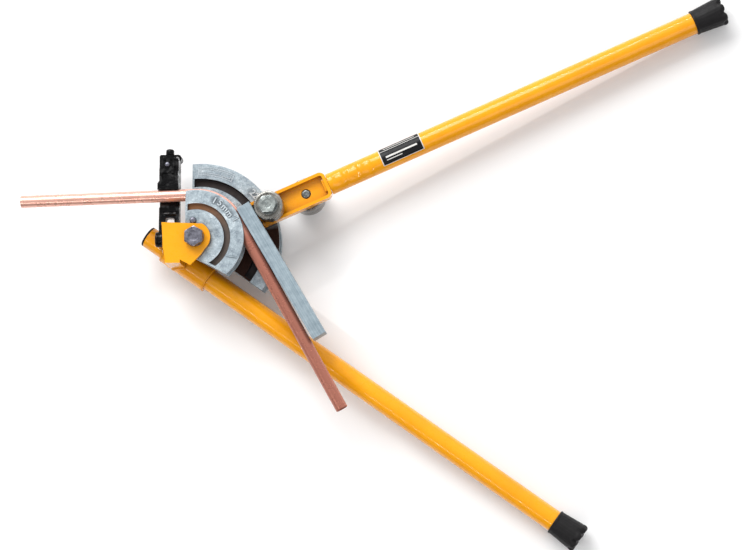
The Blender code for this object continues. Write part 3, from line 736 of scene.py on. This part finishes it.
leg_foot = [(-36.0 + 18.0 * i / 8, -31.9) for i in range(9)]
weld_bead("leg_weld", [(x, y, collar_top(x, y, 0.5)) for x, y in leg_foot], 1.7, "frame")
web_foot = [(-30.2, -11.5 + 18.0 * i / 8) for i in range(9)]
weld_bead("web_weld", [(x, y, collar_top(x, y, 0.5)) for x, y in web_foot[:7]], 1.6, "frame")
rear_edge = [fixed_n * -20.9 + fixed_u * (-22.0 + 44.0 * i / 10) for i in range(11)]
weld_bead("rear_weld", [(p.x, p.y, 20.4) for p in rear_edge], 1.7, "frame")


# ---------------------------------------------------------------- fasteners

def hexagon(at, r, turn):
    return [(at[0] + r * cos(radians(60 * i + turn)),
             at[1] + r * sin(radians(60 * i + turn))) for i in range(6)]


def hex_head(name, at, z0, z1, af, turn, shank=None):
    """Hexagon with chamfered corners, a bearing ring under it and a shallow dish on top."""
    r = af / 2 / cos(pi / 6)
    pts = hexagon(at, r, turn)
    head = prism(name, pts, z0, z1)
    h = z1 - z0
    profile = [(-0.1, af * 0.46), (0.0, af * 0.50), (0.5, r * 1.01), (h - 0.9, r * 1.01),
               (h - 0.1, af * 0.505), (h + 0.01, af * 0.49)]
    boolean(head, lathe("cone", (at[0], at[1], z0), (0, 0, 1), profile, 96), "INTERSECT")
    boolean(head, lathe("dish", (at[0], at[1], z1 - 0.5), (0, 0, 1),
                        [(0, af * 0.20), (0.3, af * 0.30), (1.5, af * 0.34)], 64))
    if shank:
        boolean(head, lathe("shank", (at[0], at[1], 0), (0, 0, 1), shank, 64), "UNION")
    return soften(head, 0.25, 2, 25.0)


pivot = hex_head("pivot_bolt_hex", (0, 0), 96.6, 105.4, 22.0, 90.0,
                 [(0.0, 6.0), (0.3, 6.6), (1.0, 7.0), (97.4, 7.0)])
finish_piece(pivot, "frame", ["pivot_bolt"], bolt_mat, 30.0)
nut = prism("pivot_nut_hex", hexagon((0, 0), 12.70, 90), 3.0, 14.5)
boolean(nut, lathe("cone", (0, 0, 0), (0, 0, 1), [(2.9, 10.6), (4.2, 12.9), (13.3, 12.9), (14.6, 10.6)],
                   96), "INTERSECT")
hole(nut, (0, 0), 7.3, 0, 20)
soften(nut, 0.25, 2, 25.0)
finish_piece(nut, "frame", ["pivot_nut"], bolt_mat, 30.0)


def washer(name, at, z0, z1, r, bore, body, node, mat):
    e = min(0.35, (z1 - z0) * 0.3)
    ring = ring_lathe(name, (at[0], at[1], 0), (0, 0, 1),
                      [(z0, bore + e), (z0, r - e), (z0 + e * 0.3, r - e * 0.3), (z0 + e, r), (z1 - e, r),
                       (z1 - e * 0.3, r - e * 0.3), (z1, r - e),
                       (z1, bore + e), (z1 - e, bore), (z0 + e, bore)])
    return finish_piece(ring, body, [node], mat, 50.0)


washer("front_washer", (0, 0), 94.6, 96.3, 11.6, 7.3, "frame", "pivot_washer_front", bolt_mat)
washer("rear_washer", (0, 0), 14.8, 16.0, 14.0, 7.3, "frame", "pivot_washer_rear", bolt_mat)
washer("bush", (0, 0), 52.15, 66.45, 11.0, 7.3, "lever", "pivot_bush", bronze_mat)

dowel = lathe("dowel_front", (-3.0, 21.5, 84.3), (0, 0, 1),
              [(0, 3.6), (0.3, 3.8), (6.2, 3.8), (6.8, 3.6), (7.3, 3.0), (7.6, 2.0), (7.6, 0.6)], 64)
finish_piece(dowel, "frame", ["front_dowel"], bolt_mat, 50.0)
dowel = lathe("dowel_rear", (10.5, 10.5, 17.0), (0, 0, 1),
              [(0, 3.2), (0.3, 3.7), (0.8, 4.0), (10.6, 4.0), (11.0, 3.7)], 64)
finish_piece(dowel, "frame", ["rear_dowel"], bolt_mat, 50.0)


# ---------------------------------------------------------------- formers

def former_disc(name, r, z, bend_r, groove_r):
    mid = (z[0] + z[1]) / 2
    groove = [(bend_r + groove_r * cos(radians(a)), mid + groove_r * sin(radians(a)))
              for a in range(-90, -271, -6)]
    rim = [(r - 1.0, z[0]), (r - 0.3, z[0] + 0.3), (r, z[0] + 1.0), (r, mid - groove_r - 0.5),
           (r - 0.4, mid - groove_r)]
    rim += groove + [(r - 0.4, mid + groove_r), (r, mid + groove_r + 0.5), (r, z[1] - 1.0),
                     (r - 0.3, z[1] - 0.3), (r - 1.0, z[1])]
    return lathe(name, (0, 0, 0), (0, 0, 1), [(s, q) for q, s in rim], 288)


def limits(left_x, line_deg, line_at, lobe_r, inset=0.0):
    n, u = polar(1.0, line_deg + 90.0), polar(1.0, line_deg)
    x, off = left_x + inset, line_at + inset
    far = n * off + u * 140.0
    pts = [(far.x, far.y), (140.0, 140.0), (x, 140.0)]
    if lobe_r:
        a0 = degrees(acos(x / lobe_r))
        a1 = 360.0 + line_deg + 90.0 - degrees(acos(off / lobe_r))
        pts += arc(lobe_r, a0, a1, 48)
    else:
        s = (x - off * n.x) / u.x
        pts += [(x, off * n.y + s * u.y)]
    return pts


def recess(former, r0, r1, z0, z1, outline):
    profile = [(z0, r0 + 0.5), (z0, r1 - 0.5), (z0 + 0.5, r1), (z1, r1 + 0.6), (z1, r0 - 0.6), (z0 + 0.5, r0)]
    ring = ring_lathe("recess", (0, 0, 0), (0, 0, 1), profile, 240)
    boolean(ring, prism("recess_limits", outline, z0 - 1, z1 + 1), "INTERSECT")
    boolean(former, ring)


def raised_text(name, text, r, deg, size, z, body, mat, half=0.75):
    """Raised size number on a former's face, reading outward."""
    curve = bpy.data.curves.new(name, "FONT")
    curve.body, curve.size, curve.align_x, curve.align_y = text, size * MM, "CENTER", "CENTER"
    curve.extrude, curve.bevel_depth, curve.bevel_resolution = half * MM, 0.06 * MM, 1
    curve.offset = 0.22 * MM
    tmp = bpy.data.objects.new(name + "_curve", curve)
    bpy.context.scene.collection.objects.link(tmp)
    bpy.context.view_layer.update()
    mesh = bpy.data.meshes.new_from_object(tmp.evaluated_get(bpy.context.evaluated_depsgraph_get()))
    place = Matrix.Translation(polar(r, deg, z) * MM) @ Matrix.Rotation(radians(deg - 90.0), 4, "Z")
    mesh.transform(place)
    bpy.data.objects.remove(tmp)
    bpy.data.curves.remove(curve)
    obj = bpy.data.objects.new(name, mesh)
    bpy.context.scene.collection.objects.link(obj)
    mesh.materials.clear()
    return finish_piece(obj, body, [], mat, 40.0)


def raised_bar(name, r0, r1, deg, width, z, body, mat, skew=0.0):
    a, b = polar(r0, deg), polar(r1, deg + skew)
    d = (b - a).normalized()
    n = Vector((-d.y, d.x, 0)) * (width / 2)
    pts = [(a - n).xy, (b - n).xy, (b + n).xy, (a + n).xy]
    bar = prism(name, [tuple(p) for p in pts], z - 0.2, z + 0.8)
    soften(bar, 0.18, 2)
    return finish_piece(bar, body, [], mat)


big = former_disc("big_former_cast", FORMER_22_R, FORMER_22_Z, BEND_22_R, GROOVE_22_R)
boolean(big, prism("limits", limits(-10.2, FIXED_DEG, -4.7, 13.0), 10, 60), "INTERSECT")
recess(big, 70.0, 79.3, 44.8, 53.8, limits(-10.2, FIXED_DEG, -4.7, 0, 2.5))
hole(big, (0, 0), BOLT_R + GAP, 10, 60)
hole(big, (10.5, 10.5), 4.3, 10, 28.5)
soften(big, 0.5, 2)
finish_piece(big, "frame", ["former_22"], cast_22)
raised_text("size_mark_22", "22", 89.3, 41.5, 11.5, 51.85, "frame", mark_top_highlight, 0.22)


def raised_frame(name, r0, r1, a0, a1, line, z, body, mat):
    """Blank raised border that follows the rim."""
    band = prism(name, arc(r0, a0, a1, 48) + arc(r1, a1, a0, 48), z - 0.2, z + 0.32)
    d = degrees(line / r0)
    inside = arc(r0 + line, a0 + d, a1 - d, 48) + arc(r1 - line, a1 - d, a0 + d, 48)
    boolean(band, prism("inside", inside, z - 1, z + 1))
    soften(band, 0.08, 2)
    return finish_piece(band, body, [], mat)


raised_frame("blank_cartouche", 84.2, 94.6, 63.0, 92.0, 1.0, 51.8, "frame", mark_top_highlight)
raised_frame("blank_cartouche_low", 86.6, 92.2, 65.0, 90.0, 0.8, 51.8, "frame", mark_top_highlight)

small = former_disc("small_former_cast", FORMER_15_R, FORMER_15_Z, BEND_15_R, GROOVE_15_R)
boolean(small, prism("limits", limits(-12.6, -28.0, -21.9, 0), 60, 95), "INTERSECT")
recess(small, 35.5, 42.6, 83.8, 90.8, limits(-12.6, -28.0, -21.9, 0, 2.5))
hole(small, (0, 0), BOLT_R + GAP, 60, 95)
hole(small, (-3.0, 21.5), 4.1, 84, 95)
soften(small, 0.5, 2)
finish_piece(small, "frame", ["former_15"], cast_15)
for k, (letter, r, deg) in enumerate((("1", 51.2, 62.8), ("5", 52.0, 54.8), ("m", 51.3, 45.3),
                                      ("m", 50.7, 35.0))):
    raised_text("size_mark_15_%d" % k, letter, r, deg, 11.0, 88.9, "frame", mark_top_highlight)
raised_bar("zero_mark", 54.6, 58.6, 30.0, 1.0, 88.8, "frame", mark_top_highlight, -5.8)
raised_bar("zero_mark_b", 50.0, 58.4, 23.6, 1.0, 88.8, "frame", mark_top_highlight, 0.6)
raised_bar("end_mark", 45.0, 57.5, -31.0, 1.1, 88.8, "frame", cast_15, 5.0)

# ---------------------------------------------------------------- lever link and shank


def lever_outline(half, end, nose, back, fine):
    pts = arc(nose, -90, 0, fine, (end - nose, -half + nose))
    pts += arc(nose, 0, 90, fine, (end - nose, half - nose))
    pts += arc(back, 90, 270, 48)
    return [tuple(on_lever(x, y).xy) for x, y in pts]


link = prism("link_channel", lever_outline(LINK_HALF, LINK_END, 7.5, LINK_HALF, 12), LINK_Z[0], LINK_Z[2])
pocket = (arc(3.0, -90, 0, 6, (LINK_END - 7.2, -10.2)) + arc(3.0, 0, 90, 6, (LINK_END - 7.2, 10.2)))
pocket = [(x, y) for x, y in pocket]
pocket += [(16.0, 13.2), (16.0, -13.2)]
boolean(link, prism("pocket", [tuple(on_lever(x, y).xy) for x, y in pocket], LINK_Z[1], 70))
slot_pts = [(160, -8.4), (190, -8.4), (190, 8.4), (160, 8.4)]
boolean(link, prism("slot", [tuple(on_lever(x, y).xy) for x, y in slot_pts], 57.35, 64.4))
roller_15_xy = on_lever(97.4, 0.6).xy
roller_22_xy = on_lever(144.3, 0.4).xy
hole(link, (0, 0), 11.3, 40, 80)
hole(link, roller_15_xy, 6.3, 40, 80)
hole(link, roller_22_xy, 6.0, 40, 80)
soften(link, 0.9, 3)
finish_piece(link, "lever", ["lever_link"], paint)

bar = [(167.6, -8.0), (232, -8.0), (232, 8.0), (167.6, 8.0)]
shank = prism("shank_bar", [tuple(on_lever(x, y).xy) for x, y in bar], 57.6, 63.4)
soften(shank, 1.2, 4)
finish_piece(shank, "lever", ["lever_shank"], paint)

# ---------------------------------------------------------------- rollers and their pins

roller_15_mat = turned_material("turned_steel_15", tuple(roller_15_xy * MM), (0.19, 0.185, 0.17),
                                (0.44, 0.43, 0.40))
roller_22_mat = turned_material("turned_steel_22", tuple(roller_22_xy * MM), (0.17, 0.165, 0.16),
                                (0.40, 0.38, 0.36))

bolt_15_mat = turned_material("turned_bolt_15", tuple(roller_15_xy * MM), (0.22, 0.25, 0.25),
                              (0.50, 0.54, 0.52))


def roller(name, at, r, z, bore, steps, mat, node):
    """Turned roller: steps are (radius, depth) of the rings cut in both end faces."""
    low = [(z[0] + 0.3, bore), (z[0], bore + 0.3)] + [(z[0] + d, q) for q, d in steps]
    low += [(z[0], r - 1.4), (z[0] + 0.2, r - 0.8), (z[0] + 0.8, r - 0.2), (z[0] + 1.4, r)]
    mid = (z[0] + z[1]) / 2
    waist = [(mid - 2.0, r), (mid - 1.2, r - 0.25), (mid + 1.2, r - 0.25), (mid + 2.0, r)]
    high = [(z[0] + z[1] - a, q) for a, q in reversed(low)]
    obj = ring_lathe(name, (at[0], at[1], 0), (0, 0, 1), low + waist + high, 128)
    return finish_piece(obj, node, [node], mat, 32.0)


rings_15 = [(8.4, 0.0), (8.7, 0.5), (9.6, 0.5), (9.9, 0.0), (12.8, 0.0), (13.2, 1.3), (14.5, 1.3),
            (14.9, 0.0)]
rings_22 = [(11.3, 0.0), (11.8, 1.5), (17.0, 1.5), (17.5, 0.0), (18.6, 0.0), (18.8, 0.25), (19.1, 0.25),
            (19.3, 0.0)]
roller("roller_15_turned", roller_15_xy, 17.9, (66.9, 88.7), 6.08, rings_15, roller_15_mat, "roller_15")
roller("roller_22_turned", roller_22_xy, 21.0, (21.8, 51.8), 4.88, rings_22, roller_22_mat, "roller_22")

bolt = hex_head("roller_bolt_hex", roller_15_xy, 90.9, 98.6, 20.0, 4.0,
                [(52.6, 5.2), (53.4, 6.0), (91.6, 6.0)])
finish_piece(bolt, "lever", ["roller_15_bolt"], bolt_15_mat, 30.0)
washer("roller_washer", roller_15_xy, 89.0, 90.6, 12.0, 6.3, "lever", "roller_15_washer", bright_mat)
washer("roller_spacer", roller_15_xy, 57.6, 66.5, 10.0, 6.3, "lever", "roller_15_spacer", bolt_mat)
pin = lathe("big_roller_pin", (*roller_22_xy, 17.6), (0, 0, 1),
            [(0, 6.2), (0.3, 7.2), (1.0, 7.8), (1.8, 8.0), (3.4, 8.0), (3.8, 7.7), (3.8, 4.8),
             (40.4, 4.8), (41.0, 4.5),
             (41.35, 3.8), (41.4, 3.2), (41.0, 2.9), (41.0, 2.4), (41.4, 2.1), (41.4, 0.6)], 72)
finish_piece(pin, "lever", ["roller_22_pin"], bright_mat, 35.0)

# ---------------------------------------------------------------- guide

guide_t, guide_n = polar(1.0, GUIDE_DEG), polar(1.0, GUIDE_DEG + 90.0)
half_deg = degrees(atan2(sqrt(GROOVE_15_R ** 2 - (GUIDE_FACES[0] - BEND_15_R) ** 2),
                         GUIDE_FACES[0] - BEND_15_R))
n0, n1 = GUIDE_FACES
section = [(n0, 66.8), (n1, 66.8), (n1, 88.8), (n0, 88.8)]
for i in range(25):
    a = radians(half_deg - 2 * half_deg * i / 24)
    section.append((BEND_15_R + GROOVE_15_R * cos(a), COPPER_Z + GROOVE_15_R * sin(a)))
guide = loft("guide_bar", [[tuple(guide_n * n + guide_t * s + Vector((0, 0, z))) for n, z in section]
                           for s in GUIDE_ENDS])
soften(guide, 0.6, 3)
finish_piece(guide, "guide", ["guide_15"], guide_mat)

# ---------------------------------------------------------------- stop

x0, x1 = STOP_X
fork_l, fork_r, foot_y = WEB_X[0] - 0.45, WEB_X[1] + 0.45, STOP_PIN[0] + 1.0
arm_outline = [(x0, foot_y), (fork_l, foot_y)]
arm_outline += arc(2.0, 180, 90, 6, (fork_l + 2.0, 26.8)) + arc(2.0, 90, 0, 6, (fork_r - 2.0, 26.8))
arm_outline += [(fork_r, foot_y), (x1, foot_y), (x1, 98.5)]
arm_outline += arc(5.2, -55, 110, 24, (-27.0, 103.0)) + [(-31.0, 108.0), (x0 + 1.5, 108.0), (x0, 106.5)]
arm = prism("stop_arm_casting", arm_outline, 52.3, 65.3)
for a, b in ((x0 - 0.2, WEB_X[0] - GAP), (WEB_X[1] + GAP, x1 + 0.2)):
    boolean(arm, lathe("foot", (a, *STOP_PIN), (1, 0, 0), [(0, 9.5), (b - a, 9.5)], 96), "UNION")
boolean(arm, box("hook", (x0 + 1.3, -30.3), (102.4, 107.3), (30.0, 55.0)), "UNION")
boolean(arm, lathe("pin_space", (-60, *STOP_PIN), (1, 0, 0), [(0, 5.3), (60, 5.3)], 64))
hole(arm, (-26.6, 103.2), 2.1, 50, 70)
hole(arm, SADDLE_AT, 3.3, 40, 80)
boolean(arm, lathe("screw_space", (-37.3, 96.5, 58.8), (0, 1, 0), [(0, 3.3), (20, 3.3)], 48))
boolean(arm, lathe("bridge_rib", (x0 + 3.0, 34.0, 63.4), (1, 0, 0), [(0, 3.2), (x1 - x0 - 6.0, 3.2)], 40),
        "UNION")
boolean(arm, box("side_step", (x0 - 1, x0 + 2.2), (42.0, 54.0), (60.0, 70.0)))
boolean(arm, box("side_step", (x1 - 2.2, x1 + 1), (42.0, 54.0), (60.0, 70.0)))
soften(arm, 0.9, 3)
finish_piece(arm, "stop", ["stop_arm"], enamel)

saddle_outline = [(-48.4, 56.5), (-22.2, 57.2), (-22.2, 69.0), (-22.9, 72.0), (-22.9, 99.0), (-24.9, 101.0),
                  (-44.2, 101.0), (-46.2, 99.0), (-46.2, 72.0), (-48.4, 69.0)]
tail_u, tail_n = polar(1.0, TAIL_DEG), polar(1.0, TAIL_DEG + 90.0)
tail_mid = tail_n * BEND_15_R + Vector((0, 0, COPPER_Z))
saddle = prism("stop_saddle_casting", saddle_outline, 65.6, 84.6)
boolean(saddle, lathe("tube_space", tail_mid - tail_u * 80.0, tail_u, [(0, 8.3), (80, 8.3)], 96))
boolean(saddle, box("relief", (-60, -10), (40.0, 61.2), (60, 95)))
hole(saddle, SADDLE_AT, 3.08, 60, 95)
boolean(saddle, box("panel", (-42.6, -27.0), (74.5, 82.0), (82.2, 90.0)))
boolean(saddle, box("upper_step", (-50.0, -42.2), (88.5, 105.0), (80.4, 90.0)))
boolean(saddle, box("upper_step", (-27.6, -20.0), (84.5, 105.0), (80.4, 90.0)))
boolean(saddle, box("cross_slot", (-40.0, -30.0), (95.8, 98.2), (82.6, 90.0)))
boolean(saddle, lathe("boss", (-41.6, 69.2, 80.0), (0, 0, 1), [(0, 2.6), (5.6, 2.6)], 48), "UNION")
soften(saddle, 0.8, 3)
finish_piece(saddle, "saddle", ["stop_saddle"], enamel)

cross_pin = lathe("stop_cross_pin", (-53.9, *STOP_PIN), (1, 0, 0),
                  [(0, 1.0), (0, 7.6), (0.25, 8.6), (0.8, 9.2), (1.5, 9.5), (3.6, 9.5), (4.0, 9.2),
                   (4.0, 5.0),
                   (31.7, 5.0), (32.3, 4.7), (32.7, 4.0)], 96)
finish_piece(cross_pin, "frame", ["stop_pivot_pin"], enamel, 50.0)
clip = ring_lathe("stop_pin_clip", (-24.0, *STOP_PIN), (1, 0, 0),
                  [(0.2, 5.25), (0, 5.45), (0, 7.9), (0.3, 8.2),
                   (1.1, 8.2), (1.4, 7.9), (1.4, 5.45), (1.2, 5.25)], 72)
finish_piece(clip, "frame", ["stop_clip"], bolt_mat, 50.0)
knob = lathe("stop_knob", (-37.3, 99.5, 58.8), (0, 1, 0),
             [(0, 2.7), (0.4, 3.0), (8.9, 3.0), (8.9, 4.7), (9.3, 5.1), (10.0, 5.2), (13.6, 5.2),
              (14.6, 5.0), (15.6, 4.4),
              (16.2, 3.5), (16.5, 2.4), (16.5, 0.6)], 72)
finish_piece(knob, "stop", ["stop_top_screw"], enamel, 50.0)
pivot_pin = lathe("saddle_pivot_pin", (*SADDLE_AT, 53.0), (0, 0, 1),
                  [(0, 2.6), (0.4, 3.0), (33.4, 3.0), (34.3, 2.6), (34.8, 1.8), (34.8, 0.5)], 48)
finish_piece(pivot_pin, "stop", ["saddle_pin"], bolt_mat, 50.0)

# ---------------------------------------------------------------- copper tube

exit_u, exit_n = polar(1.0, EXIT_DEG), polar(1.0, EXIT_DEG + 90.0)
path = []
for k in range(31):
    path.append((tail_mid - tail_u * (TAIL_LENGTH * (1 - k / 30)), TAIL_DEG))
for k in range(1, 49):
    h = TAIL_DEG + (EXIT_DEG - TAIL_DEG) * k / 48
    path.append((polar(BEND_15_R, h + 90.0, COPPER_Z), h))
for k in range(1, 37):
    path.append((exit_n * BEND_15_R + exit_u * (EXIT_LENGTH * k / 36) + Vector((0, 0, COPPER_Z)), EXIT_DEG))


def swept(points, r, segments=72):
    rings = []
    for k, (point, heading) in enumerate(points):
        out = polar(1.0, heading + 90.0)
        q = r - (0.35 if k in (0, len(points) - 1) else 0.0) * (1 if r > 7.2 else -1)
        rings.append([tuple(point + out * (q * cos(2 * pi * i / segments))
                            + Vector((0, 0, q * sin(2 * pi * i / segments)))) for i in range(segments)])
    return rings


start_lip = [(path[0][0], path[0][1]), (path[0][0] + tail_u * 0.4, path[0][1])]
end_lip = [(path[-1][0] - exit_u * 0.4, path[-1][1]), (path[-1][0], path[-1][1])]
full = start_lip + path[1:-1] + end_lip
tube = loft("copper_workpiece", swept(full, 7.5) + swept(full, 6.75)[::-1], close=True)
finish_piece(tube, None, ["copper_tube"], copper_mat)
# The tube bends only where it lies on the former, between its two tangent points.
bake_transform(tube)

# ---------------------------------------------------------------- label


def label_sheet():
    """Wrapped label: dark panels, a pale border and plain stripes."""
    s0, s1, a0, a1 = 246.0, 300.5, 18.0, 132.0
    ns, na = 109, 76
    verts, faces, kinds = [], [], []
    for r in (13.62, 13.92):
        for i in range(ns + 1):
            for k in range(na + 1):
                t = radians(a0 + (a1 - a0) * k / na)
                verts.append(tuple(on_lever(s0 + (s1 - s0) * i / ns, r * cos(t), LEVER_Z + r * sin(t))))
    step = (ns + 1) * (na + 1)
    for i in range(ns):
        for k in range(na):
            a = i * (na + 1) + k
            top = (step + a, step + a + 1, step + a + na + 2, step + a + na + 1)
            faces.append(top)
            x, y = (i + 0.5) / ns, (k + 0.5) / na
            border = x < 0.022 or x > 0.978 or y < 0.018 or y > 0.968
            line = 0.300 < y < 0.335
            thin_stripe = 0.17 < y < 0.205 and 0.12 < x < 0.88
            wide_stripe = 0.60 < y < 0.69 and 0.12 < x < 0.88
            short_stripe = 0.76 < y < 0.80 and 0.12 < x < 0.50
            kinds.append(1 if border or line or thin_stripe or wide_stripe or short_stripe else 0)
            faces.append((a + na + 1, a + na + 2, a + 1, a))
            kinds.append(1)
    rim = [i * (na + 1) for i in range(ns + 1)] + [ns * (na + 1) + k for k in range(1, na + 1)]
    rim += [i * (na + 1) + na for i in range(ns - 1, -1, -1)] + [k for k in range(na - 1, 0, -1)]
    for p, q in zip(rim, rim[1:] + rim[:1]):
        faces.append((p, q, q + step, p + step))
        kinds.append(1)
    mesh = bpy.data.meshes.new("label_wrap")
    mesh.from_pydata([tuple(c * MM for c in v) for v in verts], [], faces)
    mesh.materials.append(label_black)
    mesh.materials.append(label_white)
    for face, kind in zip(mesh.polygons, kinds):
        face.material_index = kind
    bm = bmesh.new()
    bm.from_mesh(mesh)
    bmesh.ops.recalc_face_normals(bm, faces=bm.faces)
    bm.to_mesh(mesh)
    bm.free()
    obj = bpy.data.objects.new("label_wrap", mesh)
    bpy.context.scene.collection.objects.link(obj)
    return obj


finish_piece(label_sheet(), "lever", ["lever_label"], label_black)

# ---------------------------------------------------------------- tidy up

for obj in scrap:
    data = obj.data
    bpy.data.objects.remove(obj, do_unlink=True)
    bpy.data.meshes.remove(data)
